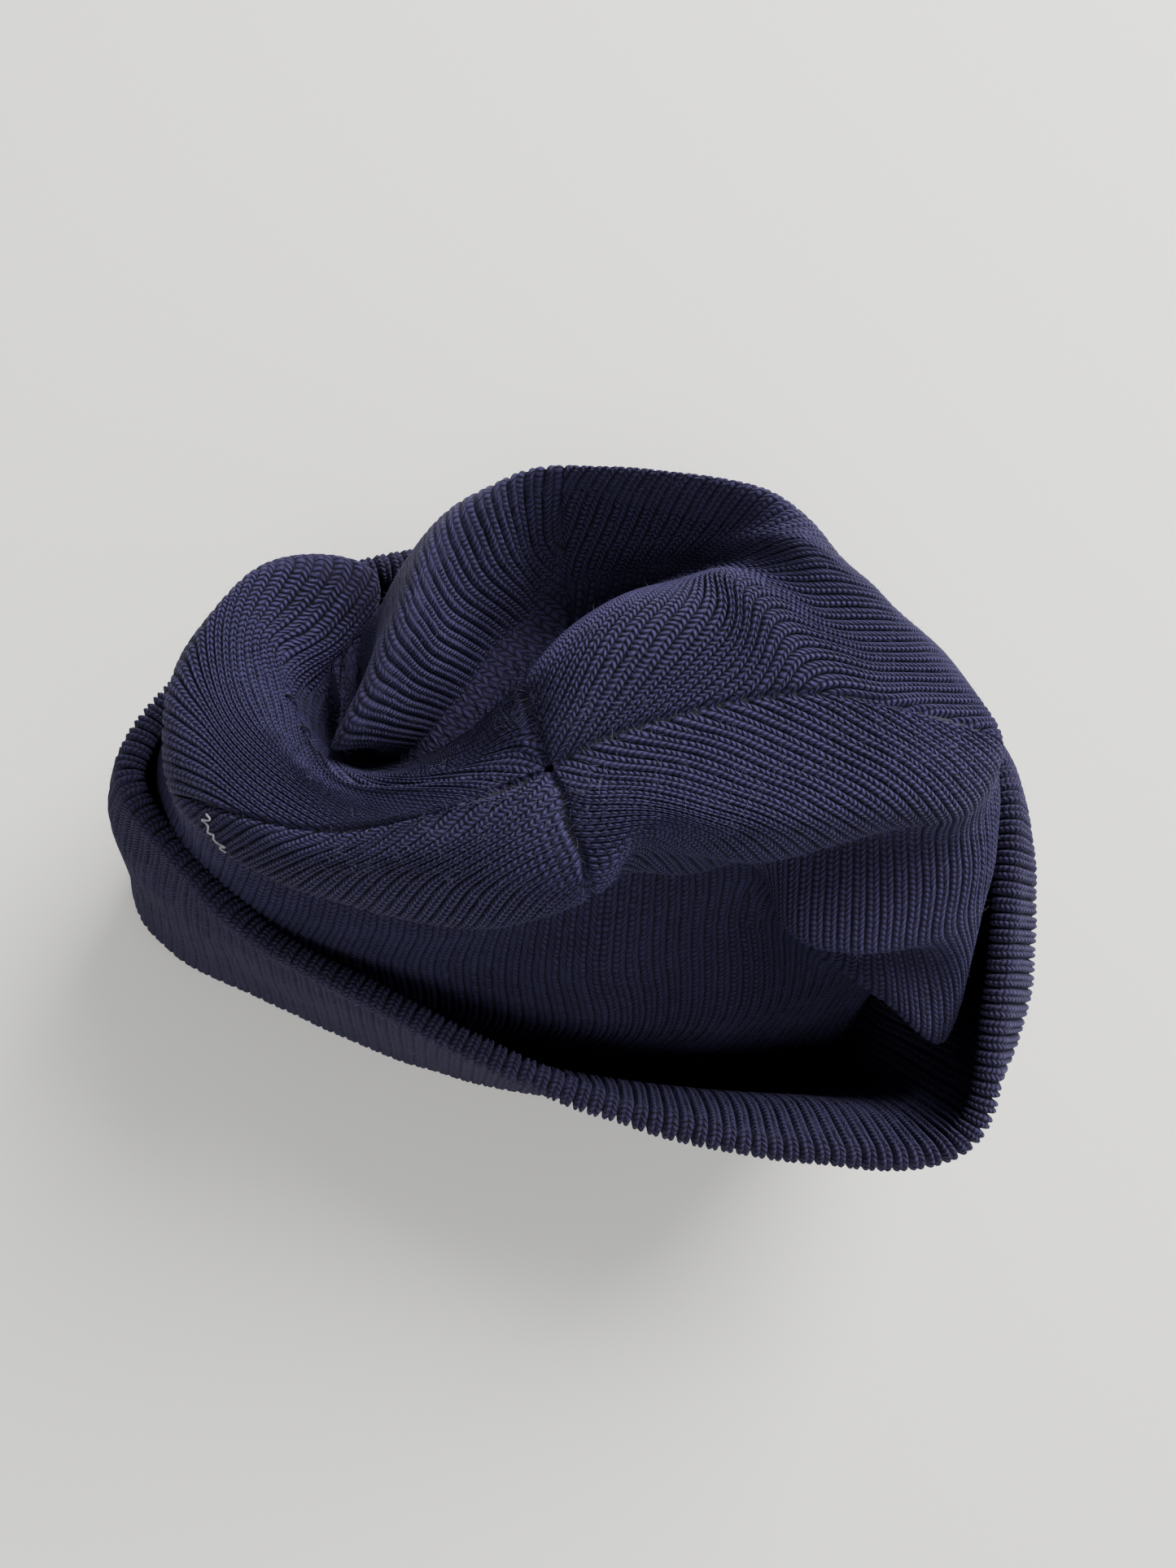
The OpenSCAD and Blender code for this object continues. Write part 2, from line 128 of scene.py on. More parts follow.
# The CAD part's own measures, in mm
PLY = 1.6
PLY_GAP = 0.2           # between the plies of the cuff
FOLD_GAP = 0.6          # half of the space inside the lower fold
CUFF_SLANT = 60.0       # height of the cuff's rows of stitches
RIM_LOOP = 1.2
RIM_FLARE = 10.0
SEAM_RADIUS = 0.7


def points(ring):
    """A ring of points in millimetres, moved to the part's origin."""
    return np.array(ring, float) + np.array(TO_ORIGIN)


RINGS = np.array([points(r) for r in (
    FOLD_RING, WALL_RING, FLAP_RING, PINCH_RING, BULGE_RING, TUCK_RING, RIDGE_RING,
    INNER_RING, VALLEY_RING, BOSS_RING, CENTRE_RING, (TIP,) * LINES)])
RIM = points(RIM_RING)
TOP = len(RINGS) - 1


def blend(a, b, c, d, t):
    """Catmull-Rom curve through b and c."""
    t = np.asarray(t)[..., None]
    return 0.5 * (2 * b + (c - a) * t + (2 * a - 5 * b + 4 * c - d) * t ** 2
                  + (3 * b - a - 3 * c + d) * t ** 3)


def on_ring(ring, s):
    """Points at line numbers s on one closed ring."""
    s = np.asarray(s, float)
    i = np.floor(s).astype(int)
    n = len(ring)
    return blend(ring[(i - 1) % n], ring[i % n], ring[(i + 1) % n], ring[(i + 2) % n], s - i)


def number_on_ring(values, s):
    """The same for one number a line."""
    return on_ring(np.array(values, float)[:, None], s)[..., 0]


# A dense grid of the skin, smoothed a little, that everything else is sampled from
PER_LINE = 16
PER_RING = 16
SMOOTHING = 6
LINING_SMOOTHING = 90


def dense_skin(smoothing):
    """The skin at even line and ring numbers, smoothed a number of times."""
    s = np.arange(LINES * PER_LINE) / PER_LINE
    rings = np.array([on_ring(r, s) for r in RINGS])
    below = 2 * rings[:1] - rings[1:2]
    above = 2 * rings[-1:] - rings[-2:-1]
    rings = np.concatenate([below, rings, above])
    v = np.arange(TOP * PER_RING + 1) / PER_RING
    k = np.minimum(np.floor(v).astype(int), TOP - 1)
    t = np.repeat((v - k)[:, None], len(s), 1)
    grid = blend(rings[k], rings[k + 1], rings[k + 2], rings[k + 3], t)
    for _ in range(smoothing):
        round_mean = (np.roll(grid, 1, 1) + np.roll(grid, -1, 1)) / 2
        grid += 0.5 * (round_mean - grid)
        up_mean = (grid[:-2] + grid[2:]) / 2
        grid[1:-1] += 0.5 * (up_mean - grid[1:-1])
    return grid


SKIN = dense_skin(SMOOTHING)
# The lining bridges the tightest folds
LINING_SKIN = dense_skin(LINING_SMOOTHING)


def cubic_weights(t):
    """Weights of four points for a Catmull-Rom curve."""
    return (0.5 * (-t + 2 * t ** 2 - t ** 3), 0.5 * (2 - 5 * t ** 2 + 3 * t ** 3),
            0.5 * (t + 4 * t ** 2 - 3 * t ** 3), 0.5 * (-t ** 2 + t ** 3))


def skin(s, v, grid=SKIN):
    """Points of the skin at line numbers s and ring numbers v."""
    rows, cols, _ = grid.shape
    x = np.asarray(s, float) * PER_LINE
    y = np.clip(np.asarray(v, float) * PER_RING, 0, rows - 1.0001)
    i, j = np.floor(x).astype(int), np.floor(y).astype(int)
    wx, wy = cubic_weights(x - i), cubic_weights(y - j)
    out = 0
    for a in range(4):
        jj = np.clip(j + a - 1, 0, rows - 1)
        row = 0
        for b in range(4):
            row = row + wx[b][..., None] * grid[jj, (i + b - 1) % cols]
        out = out + wy[a][..., None] * row
    return out


def unit(a):
    """Vectors scaled to length 1."""
    return a / np.maximum(np.linalg.norm(a, axis=-1, keepdims=True), 1e-9)


REACH = 0.12            # of a line or a ring, to each side of a point whose slope is wanted


def outward(s, v, grid=SKIN):
    """Unit normals of the skin, pointing out of the cap."""
    along = skin(s + REACH, v, grid) - skin(s - REACH, v, grid)
    up = skin(s, np.minimum(v + REACH, TOP), grid) - skin(s, np.maximum(v - REACH, 0), grid)
    return unit(np.cross(along, up))


def flat_out(ring, s):
    """Level unit vectors that point out of a ring."""
    d = on_ring(ring, s + REACH) - on_ring(ring, s - REACH)
    return unit(np.stack([d[..., 1], -d[..., 0], 0 * d[..., 0]], -1))


# ---------------------------------------------------------------- where the stitches run
class Sector:
    """A quarter of the cap between two seams, with the knit's own coordinates on it.

    across runs from -1 to 1 between the seams, evenly along each ring, and v is the ring number.
    """
    ACROSS = 97
    LEVELS = 321
    SAMPLES = 400
    RIB_SMOOTHING = 500
    COUNT_SMOOTHING = 60

    def __init__(self, number):
        first, after = SEAM_LINES[number], SEAM_LINES[number + 1]
        fine = np.linspace(first, after, self.SAMPLES)
        self.v = np.linspace(0, TOP, self.LEVELS)
        self.q = np.linspace(-1, 1, self.ACROSS)
        line = np.empty((self.LEVELS, self.ACROSS))
        width = np.empty(self.LEVELS)
        for k, v in enumerate(self.v):
            p = skin(fine, np.full(fine.shape, min(v, TOP - 0.05)))
            d = np.concatenate([[0], np.cumsum(np.linalg.norm(np.diff(p, axis=0), axis=1))])
            line[k] = np.interp((self.q + 1) / 2 * d[-1], d, fine)
            width[k] = d[-1]
        # The ribs drift less than an even spacing asks, so they run smoothly up the cap
        for _ in range(self.RIB_SMOOTHING):
            line[1:-1] = (line[:-2] + 2 * line[1:-1] + line[2:]) / 4
        self.line = line
        self.width = width
        p = skin(line, np.repeat(self.v[:, None], self.ACROSS, 1))
        step = np.linalg.norm(np.diff(p, axis=0), axis=2)
        down = np.concatenate([np.cumsum(step[::-1], 0)[::-1], np.zeros((1, self.ACROSS))])
        self.down = down
        self.wales = SECTOR_WALES[number]
        self.first_wale = sum(SECTOR_WALES[:number])
        room = np.maximum.accumulate((width / SECTOR_PITCH[number])[::-1])[::-1]
        room = np.minimum(room, self.wales)
        for _ in range(self.COUNT_SMOOTHING):
            room[1:-1] = (room[:-2] + 2 * room[1:-1] + room[2:]) / 4
        self.room = room

    def table(self, grid, q, v):
        """Bilinear lookup in one of the sector's grids."""
        x = np.clip((q + 1) / 2 * (self.ACROSS - 1), 0, self.ACROSS - 1.0001)
        y = np.clip(v / TOP * (self.LEVELS - 1), 0, self.LEVELS - 1.0001)
        i, j = x.astype(int), y.astype(int)
        fx, fy = x - i, y - j
        return ((grid[j, i] * (1 - fx) + grid[j, i + 1] * fx) * (1 - fy)
                + (grid[j + 1, i] * (1 - fx) + grid[j + 1, i + 1] * fx) * fy)

    def lines_at(self, q, v):
        """Line numbers at places across, on rings v."""
        return self.table(self.line, q, v)

    def level(self, q, share, low, high):
        """Ring numbers at even distances up each column, between two ring numbers."""
        out = np.empty((len(share), len(q)))
        for c, value in enumerate(q):
            column = self.table(self.down, np.full(self.LEVELS, value), self.v)
            d_low = np.interp(low[c], self.v, column)
            d_high = np.interp(high[c], self.v, column)
            wanted = d_low + (d_high - d_low) * share
            out[:, c] = np.interp(-wanted, -column, self.v)
        return out

    def knit(self, q, v):
        """Rib number and height in stitches, both counted from the tip of the crown."""
        down = self.table(self.down, q, v)
        slant = 1 + DART_SLANT * q ** 2
        foot = DART_HEIGHT * slant
        height = np.where(down < foot, down / slant, DART_HEIGHT + down - foot)
        rib = self.first_wale + self.wales / 2 + q / 2 * np.interp(v, self.v, self.room)
        return rib, height / COURSE

    def seam_distance(self, q, v):
        """Distance in mm to the nearer seam line, counted along the ring."""
        return (1 - np.abs(q)) * np.interp(v, self.v, self.width) / 2


SECTORS = [Sector(k) for k in range(4)]
SECTOR_NAMES = ("back_right", "back_left", "front_left", "front_right")

# ---------------------------------------------------------------- relief of the knit
WAVES = np.random.RandomState(7)
WAVE_DIRECTIONS = WAVES.normal(size=(14, 3))
WAVE_PHASES = WAVES.uniform(0, 2 * math.pi, 14)


def ripple(p, wavelength):
    """Smooth uneven number about 0, from -1 to 1, that changes over a wavelength in mm."""
    k = WAVE_DIRECTIONS / np.linalg.norm(WAVE_DIRECTIONS, axis=1)[:, None]
    k = k * np.linspace(0.7, 1.5, len(k))[:, None] * 2 * math.pi / wavelength
    total = 0
    for direction, phase in zip(k, WAVE_PHASES):
        total = total + np.sin(p @ direction + phase)
    return total / math.sqrt(2 * len(k)) * 0.7


# Unevenness of the cloth: how much, and over which wavelength in mm
RIB_DRIFT = (0.06, 16.0)
CUFF_RIB_DRIFT = (0.12, 18.0)
COURSE_DRIFT = (0.35, 23.0)
DEPTH_DRIFT = (0.25, 31.0)
CUFF_DEPTH_DRIFT = (0.2, 31.0)
HEAVE = (0.25, 14.0)
CUFF_HEAVE = (0.2, 14.0)


def drift(p, kind):
    """One kind of unevenness at the points p."""
    amount, wavelength = kind
    return amount * ripple(p, wavelength)


LEG_MIDDLE = 0.235      # of a rib's width, from its middle to the middle of a leg
LEG_HALF = 0.215
LEG_RISE = 1.5          # stitches that a leg climbs across a whole rib


def rib_relief(rib, depth):
    """Rounded rib with a groove beside it and a shallow crease between its two legs."""
    x = np.abs(rib - np.floor(rib) - 0.5)
    leg = np.sqrt(np.clip(1 - ((x - LEG_MIDDLE) / LEG_HALF) ** 2, 0, 1))
    crown = 1 - (x / 0.5) ** 4
    return depth * (0.45 * leg + 0.55 * crown)


# ---------------------------------------------------------------- meshes
def grid_mesh(name, grid, uv, round_it=False):
    """A smooth sheet of quads over a grid of points in mm, with the knit's coordinates as UV."""
    rows, cols, _ = grid.shape
    verts = grid.reshape(-1, 3) * MM
    r, c = np.meshgrid(np.arange(rows - 1), np.arange(cols if round_it else cols - 1),
                       indexing="ij")
    r, c = r.ravel(), c.ravel()
    nxt = (c + 1) % cols
    loops = np.stack([r * cols + c, r * cols + nxt, (r + 1) * cols + nxt, (r + 1) * cols + c], 1)
    wide = uv.shape[1]
    corner = np.stack([r * wide + c, r * wide + c + 1,
                       (r + 1) * wide + c + 1, (r + 1) * wide + c], 1)
    mesh = bpy.data.meshes.new(name)
    mesh.vertices.add(len(verts))
    mesh.vertices.foreach_set("co", verts.ravel().astype(np.float32))
    mesh.loops.add(loops.size)
    mesh.loops.foreach_set("vertex_index", loops.ravel().astype(np.int32))
    mesh.polygons.add(len(loops))
    mesh.polygons.foreach_set("loop_start", np.arange(0, loops.size, 4, dtype=np.int32))
    mesh.polygons.foreach_set("loop_total", np.full(len(loops), 4, np.int32))
    mesh.polygons.foreach_set("use_smooth", np.ones(len(loops), bool))
    layer = mesh.uv_layers.new(name="knit")
    layer.data.foreach_set("uv", uv.reshape(-1, 2)[corner.ravel()].ravel().astype(np.float32))
    mesh.update(calc_edges=True)
    mesh.validate()
    piece = bpy.data.objects.new(name, mesh)
    bpy.context.scene.collection.objects.link(piece)
    return piece


def finish_piece(piece, material, slot, *nodes):
    """Hang a piece on the body, in place of its CAD nodes."""
    piece.data.materials.append(material)
    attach(piece, BODY)
    for node in nodes:
        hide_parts(node)
    return piece


# ---------------------------------------------------------------- materials
def new_material(name):
    """An empty material, with its nodes and links."""
    material = bpy.data.materials.new(name)
    material.use_nodes = True
    return material, material.node_tree.nodes, material.node_tree.links


def node(nodes, kind, **settings):
    """A new shader node with its settings."""
    made = nodes.new(kind)
    for key, value in settings.items():
        setattr(made, key, value)
    return made


class Maths:
    """Short form for chains of math nodes."""

    def __init__(self, nodes, links):
        self.nodes, self.links = nodes, links

    def __call__(self, operation, *values):
        made = node(self.nodes, "ShaderNodeMath", operation=operation)
        for slot, value in zip(made.inputs, values):
            if isinstance(value, (int, float)):
                slot.default_value = value
            else:
                self.links.new(value, slot)
        return made.outputs[0]


def linear(rgb):
    """sRGB 0 to 255 as linear colour."""
    out = []
    for c in rgb:
        c = c / 255
        out.append(c / 12.92 if c < 0.04045 else ((c + 0.055) / 1.055) ** 2.4)
    return (*out, 1.0)


def noise_texture(nodes, links, spot, scale, detail):
    """Noise in the piece's own space."""
    noise = node(nodes, "ShaderNodeTexNoise")
    noise.inputs["Scale"].default_value = scale
    noise.inputs["Detail"].default_value = detail
    links.new(spot.outputs["Object"], noise.inputs["Vector"])
    return noise


SWAY_SCALE = 420.0      # waves a metre: yarns that lie unevenly
CLOUD_SCALE = 55.0      # wear and fading
FUZZ_SCALE = 2600.0     # loose fibres
RIB_SWAY = 0.3
COURSE_SWAY = 0.9
SHEEN_TINT = (120, 120, 175)


def knit_material(name, colour, gap_shade_colour, stitch_bump, crispness=1.0):
    """Fuzzy acrylic rib knit: painted shade in the gaps between the stitches, slanting fibres,
    soft sheen.
    """
    material, nodes, links = new_material(name)
    bsdf = nodes["Principled BSDF"]
    m = Maths(nodes, links)
    uv = node(nodes, "ShaderNodeUVMap", uv_map="knit")
    split = node(nodes, "ShaderNodeSeparateXYZ")
    links.new(uv.outputs[0], split.inputs[0])
    rib, course = split.outputs[0], split.outputs[1]
    spot = node(nodes, "ShaderNodeTexCoord")
    uneven = noise_texture(nodes, links, spot, SWAY_SCALE, 2.0)
    sway = m("SUBTRACT", uneven.outputs["Fac"], 0.5)
    rib = m("ADD", rib, m("MULTIPLY", sway, RIB_SWAY))
    course = m("ADD", course, m("MULTIPLY", sway, COURSE_SWAY))
    x = m("ABSOLUTE", m("SUBTRACT", m("FRACT", rib), 0.5))
    off = m("DIVIDE", m("SUBTRACT", x, LEG_MIDDLE), LEG_HALF + 0.02)
    leg = m("SQRT", m("MAXIMUM", m("SUBTRACT", 1.0, m("MULTIPLY", off, off)), 0.0))
    phase = m("ADD", course, m("MULTIPLY", x, LEG_RISE))
    grain = m("POWER", m("ABSOLUTE", m("COSINE", m("MULTIPLY", phase, math.pi))), 0.9)
    stitch = m("MULTIPLY", leg, grain)
    cell = node(nodes, "ShaderNodeCombineXYZ")
    links.new(m("FLOOR", m("MULTIPLY", rib, 2.0)), cell.inputs[0])
    links.new(m("FLOOR", m("ADD", phase, 0.5)), cell.inputs[1])
    chance = node(nodes, "ShaderNodeTexWhiteNoise")
    links.new(cell.outputs[0], chance.inputs["Vector"])
    stitch = m("MULTIPLY", stitch, m("ADD", m("MULTIPLY", chance.outputs["Value"], 0.5), 0.7))

    cloudy = noise_texture(nodes, links, spot, CLOUD_SCALE, 3.0)
    fuzz = noise_texture(nodes, links, spot, FUZZ_SCALE, 4.0)
    fuzz.inputs["Roughness"].default_value = 0.7

    # Painted shade: the ramp below darkens the grooves between the stitches towards the gap colour
    # and leaves the raised legs in the yarn's colour; the fuzz and cloud noise add random tone.
    shade = m("ADD", m("MULTIPLY", stitch, 0.85), m("MULTIPLY", fuzz.outputs["Fac"], 0.4))
    shade = m("ADD", shade, m("MULTIPLY", m("SUBTRACT", cloudy.outputs["Fac"], 0.5), 0.35))
    # crispness moves the ramp's ends together, for sharper painted shade between the stitches.
    ramp = node(nodes, "ShaderNodeValToRGB")
    ramp.color_ramp.elements[0].position = 0.12 * crispness
    ramp.color_ramp.elements[0].color = linear(gap_shade_colour)
    ramp.color_ramp.elements[1].position = 1.05 - 0.1 * crispness
    ramp.color_ramp.elements[1].color = linear(colour)
    links.new(shade, ramp.inputs[0])
    links.new(ramp.outputs[0], bsdf.inputs["Base Color"])

    bump = node(nodes, "ShaderNodeBump")
    bump.inputs["Strength"].default_value = 1.0
    bump.inputs["Distance"].default_value = 0.5 * MM
    height = m("ADD", m("MULTIPLY", stitch, stitch_bump), m("MULTIPLY", fuzz.outputs["Fac"], 0.35))
    links.new(height, bump.inputs["Height"])
    links.new(bump.outputs[0], bsdf.inputs["Normal"])
    bsdf.inputs["Roughness"].default_value = 0.92
    bsdf.inputs["Specular IOR Level"].default_value = 0.25
    bsdf.inputs["Sheen Weight"].default_value = 0.2
    bsdf.inputs["Sheen Roughness"].default_value = 0.45
    bsdf.inputs["Sheen Tint"].default_value = linear(SHEEN_TINT)
    return material


# Leg colours of the one navy yarn, a little lighter on the crown and darker on the cuff. The gap
# colours are painted shade in the grooves between the stitches, darkest on the crown and palest on
# the wall and lining.
KNIT_COLOUR = (51, 44, 77)
CUFF_GAP_SHADE = (7, 6, 10)
CROWN_COLOUR = (56, 48, 86)
CUFF_COLOUR = (46, 39, 69)
CROWN_GAP_SHADE = (4, 3, 5)
WALL_GAP_SHADE = (13, 11, 19)
crown_knit = knit_material("crown_knit", CROWN_COLOUR, CROWN_GAP_SHADE, 1.5, 2.2)
wall_knit = knit_material("wall_knit", KNIT_COLOUR, WALL_GAP_SHADE, 0.6)
cuff_knit = knit_material("cuff_knit", CUFF_COLOUR, CUFF_GAP_SHADE, 0.9, 1.5)
lining_knit = knit_material("lining_knit", KNIT_COLOUR, WALL_GAP_SHADE, 0.6)


THREAD_FUZZ_SCALE = 1800.0


def thread_material(name, colour):
    """Matte thread, a little paler and darker from place to place."""
    material, nodes, links = new_material(name)
    bsdf = nodes["Principled BSDF"]
    spot = node(nodes, "ShaderNodeTexCoord")
    noise = noise_texture(nodes, links, spot, THREAD_FUZZ_SCALE, 3.0)
    ramp = node(nodes, "ShaderNodeValToRGB")
    ramp.color_ramp.elements[0].color = linear([c * 0.55 for c in colour])
    ramp.color_ramp.elements[1].color = linear(colour)
    links.new(noise.outputs["Fac"], ramp.inputs[0])
    links.new(ramp.outputs[0], bsdf.inputs["Base Color"])
    bump = node(nodes, "ShaderNodeBump")
    bump.inputs["Distance"].default_value = 0.1 * MM
    links.new(noise.outputs["Fac"], bump.inputs["Height"])
    links.new(bump.outputs[0], bsdf.inputs["Normal"])
    bsdf.inputs["Roughness"].default_value = 0.9
    bsdf.inputs["Sheen Weight"].default_value = 0.2
    return material


# The seam's thread is real; its colour, darker than the yarn, is partly painted shade of the
# groove along the seam.
seam_thread_and_shade_material = thread_material("seam_thread", (22, 21, 34))
loose_material = thread_material("loose_thread", (170, 172, 182))

# ---------------------------------------------------------------- crown and wall
RIB_DEPTH = 0.85        # mm
WALL_RIB = 0.55         # share of that depth left low on the wall
LINING_RIB = -0.6       # mm; the lining shows its ribs on the inside
LINING_DEPTH = 2.4      # mm under the skin
SEAM_DEPTH = 1.1        # mm that the cloth dips at a seam
SEAM_SOFT = 0.8         # mm to each side over which it does
CROWN_TOP = 10.9        # ring number at which the sheets stop, just short of the tip
# Numbers of rings over which the relief fades: down the wall, at the tip, at a seam's foot
WALL_FADE = 1.5
TIP_FADE = 1.1
SEAM_FADE = 0.3
FOOT_RING = 6.0         # near enough to the darts' feet to find their lines

# Columns and rows of each quarter's sheets
GORE_GRID = (480, 190)
WALL_GRID = (400, 200)
LINING_GRID = (253, 150)


def skin_with_relief(sector, q, v, ribs, depth=0.0, blend_down=False):
    """Points of the skin with the knit's relief on it, and the knit's coordinates."""
    s = sector.lines_at(q, v)
    grid = SKIN if depth == 0 else LINING_SKIN
    p = skin(s, v, grid)
    n = outward(s, v, grid)
    upright = np.clip(1 - v, 0, 1)[..., None]
    n = unit(n * (1 - upright) + flat_out(RINGS[0], s) * upright)
    rib, course = sector.knit(q, v)
    rib = rib + drift(p, RIB_DRIFT)
    course = course + drift(p, COURSE_DRIFT)
    foot = number_on_ring(DART_FOOT, s)
    if blend_down:
        under = np.clip((foot - v) / WALL_FADE, 0, 1)
        ribs = ribs * (1 - (1 - WALL_RIB) * under)
    near_tip = np.clip((TOP - v) / TIP_FADE, 0, 1)
    n = unit(n * near_tip[..., None] + np.array([0, 0, 1.0]) * (1 - near_tip[..., None]))
    lift = rib_relief(rib, ribs * (1 + drift(p, DEPTH_DRIFT))) - ribs
    lift = lift * near_tip + drift(p, HEAVE)
    in_dart = np.clip((v - foot) / SEAM_FADE, 0, 1)
    seam = np.exp(-(sector.seam_distance(q, v) / SEAM_SOFT) ** 2)
    lift = lift - SEAM_DEPTH * seam * in_dart
    p = p + n * (lift - depth)[..., None] - n * FOLD_GAP * upright
    return p, np.stack([rib, course], -1)


def fold_of(sector, q):
    """Ring number of the lower fold, for each place across a sector."""
    return np.zeros(q.shape)


def foot_of(sector, q):
    """Ring number of the darts' feet."""
    s = sector.lines_at(q, np.full(q.shape, FOOT_RING))
    return number_on_ring(DART_FOOT, s)


def top_of(sector, q):
    """Ring number at which the sheets stop."""
    return np.full(q.shape, CROWN_TOP)


def sector_sheet(name, sector, size, low, high, ribs, depth=0.0, blend_down=False):
    """A sheet of knit over one sector, from one height to another."""
    cols, rows = size
    q = np.linspace(-1, 1, cols)
    v = sector.level(q, np.linspace(0, 1, rows), low(sector, q), high(sector, q))
    grid, uv = skin_with_relief(sector, np.repeat(q[None], rows, 0), v, ribs, depth,
                                blend_down)
    return grid_mesh(name, grid, uv)


for sector, name in zip(SECTORS, SECTOR_NAMES):
    gore = sector_sheet("gore_" + name, sector, GORE_GRID, foot_of, top_of, RIB_DEPTH)
    finish_piece(gore, crown_knit, "shell_knit", "gore_" + name)
    wall = sector_sheet("wall_" + name, sector, WALL_GRID, fold_of, foot_of, RIB_DEPTH,
                        blend_down=True)
    finish_piece(wall, wall_knit, "shell_knit", "body_wall")
    lining = sector_sheet("lining_" + name, sector, LINING_GRID, fold_of, top_of, LINING_RIB,
                          depth=LINING_DEPTH)
    finish_piece(lining, lining_knit, "lining_knit", "lining_wall", "lining_crown")

# ---------------------------------------------------------------- cuff and folds
FOLD = RINGS[0]
FOLD_OUT = FOLD_GAP + 2 * PLY + PLY_GAP
CUFF_COLS = WALES * 8
RING_SAMPLES = 4000
CUFF_STEP = 0.03        # of the cuff's height, for its slope
# Depth of the ribs, in mm: outside, inside and round the rim of the cuff
CUFF_RIB = 0.5
INNER_RIB = 0.9
RIM_RIB = 1.6
RIM_FROM = 0.6          # share of the cuff's height at which the ribs begin to deepen
RIM_OVER = 0.35
# Rows of each ring of cloth
OUTER_ROWS = 70
INNER_ROWS = 60
RIM_ROWS = 15
FOLD_OUTER_ROWS = 17
FOLD_INNER_ROWS = 9


def even_lines(ring, count):
    """Line numbers at even distances round a ring."""
    s = np.linspace(0, LINES, RING_SAMPLES)
    p = on_ring(ring, s)
    d = np.concatenate([[0], np.cumsum(np.linalg.norm(np.diff(p, axis=0), axis=1))])
    return np.interp(np.linspace(0, d[-1], count + 1), d, s)


def cuff_middle(s, t):
    """Points midway between the cuff's plies, from the fold at 0 to the rim at 1."""
    t = np.asarray(t)[..., None]
    foot = on_ring(FOLD, s) + flat_out(FOLD, s) * (FOLD_GAP + PLY + PLY_GAP / 2)
    top = on_ring(RIM, s)
    swell = number_on_ring(CUFF_SWELL, s)[..., None] * np.sin(math.pi * t ** CUFF_LEAN)
    return foot * (1 - t) + top * t + flat_out(RIM, s) * swell


def cuff_directions(s, t):
    """Unit vectors out of the cuff and up it."""
    up = unit(cuff_middle(s, t + CUFF_STEP) - cuff_middle(s, np.maximum(t - CUFF_STEP, 0)))
    along = cuff_middle(s + REACH, t) - cuff_middle(s - REACH, t)
    return unit(np.cross(along, up)), up


def half_gap(t):
    """Half of the space between the plies, which opens below the rim."""
    f = np.clip(1 - (1 - t) * CUFF_SLANT / RIM_FLARE, 0, 1)
    return PLY_GAP / 2 + (RIM_LOOP - PLY_GAP / 2) * f ** 2


CUFF_LINES = even_lines(RIM, CUFF_COLS)
CUFF_RIBS = np.linspace(0, WALES, CUFF_COLS + 1)


def cuff_grid(rows, place):
    """A grid round the cuff: place(s, share) gives points, normals, heights and rib depths."""
    s = np.repeat(CUFF_LINES[None], rows, 0)
    share = np.repeat(np.linspace(0, 1, rows)[:, None], CUFF_COLS + 1, 1)
    ribs = np.repeat(CUFF_RIBS[None], rows, 0)
    p, n, height, depth = place(s, share)
    wander = ribs + drift(p, CUFF_RIB_DRIFT)
    course = height / COURSE + drift(p, COURSE_DRIFT)
    lift = rib_relief(wander, depth * (1 + drift(p, CUFF_DEPTH_DRIFT))) - depth
    lift = lift + drift(p, CUFF_HEAVE)
    grid = p + n * lift[..., None]
    return grid[:, :-1], np.stack([wander, course], -1)


def cuff_face(side):
    """Places on the cuff's outer face, side 1, or its inner face, side -1."""
    def place(s, share):
        n, _ = cuff_directions(s, share)
        p = cuff_middle(s, share) + n * (side * (half_gap(share) + PLY))[..., None]
        plain = CUFF_RIB if side > 0 else INNER_RIB
        near_rim = np.clip((share - RIM_FROM) / RIM_OVER, 0, 1)
        return p, n * side, share * CUFF_SLANT, plain + (RIM_RIB - plain) * near_rim
    return place


def rim_place(s, share):
    """Places over the rolled rim."""
    one = np.ones(s.shape)
    n, up = cuff_directions(s, one)
    w = (share * math.pi)[..., None]
    direction = n * np.cos(w) + up * np.sin(w)
    p = cuff_middle(s, one) + direction * (RIM_LOOP + PLY)
    return p, direction, CUFF_SLANT + share * math.pi * (RIM_LOOP + PLY), RIM_RIB * one


def fold_place(radius, sign):
    """Places under the lower fold, facing out with sign 1 or into the fold with -1."""
    def place(s, share):
        w = (share * math.pi)[..., None]
        direction = flat_out(FOLD, s) * -np.cos(w) + np.array([0, 0, -1.0]) * np.sin(w)
        direction = direction * sign
        p = on_ring(FOLD, s) + direction * radius * sign
        return p, direction, share * math.pi * radius, CUFF_RIB * np.ones(s.shape)
    return place


def cuff_piece(name, rows, place, material, slot, *nodes):
    """One ring of cloth round the cuff."""
    grid, uv = cuff_grid(rows, place)
    return finish_piece(grid_mesh(name, grid, uv, round_it=True), material, slot, *nodes)


cuff_piece("cuff_outer", OUTER_ROWS, cuff_face(1), cuff_knit, "lining_knit", "cuff_outer")
cuff_piece("cuff_inner", INNER_ROWS, lambda s, t: cuff_face(-1)(s, 1 - t), cuff_knit,
           "shell_knit", "cuff_inner")
cuff_piece("cuff_rim", RIM_ROWS, rim_place, cuff_knit, "lining_knit", "cuff_rim")
cuff_piece("lower_fold_outer", FOLD_OUTER_ROWS, fold_place(FOLD_OUT, 1), cuff_knit,
           "lining_knit", "lower_fold_outer")
cuff_piece("lower_fold_inner", FOLD_INNER_ROWS, fold_place(FOLD_GAP, -1), cuff_knit,
           "shell_knit", "lower_fold_inner")

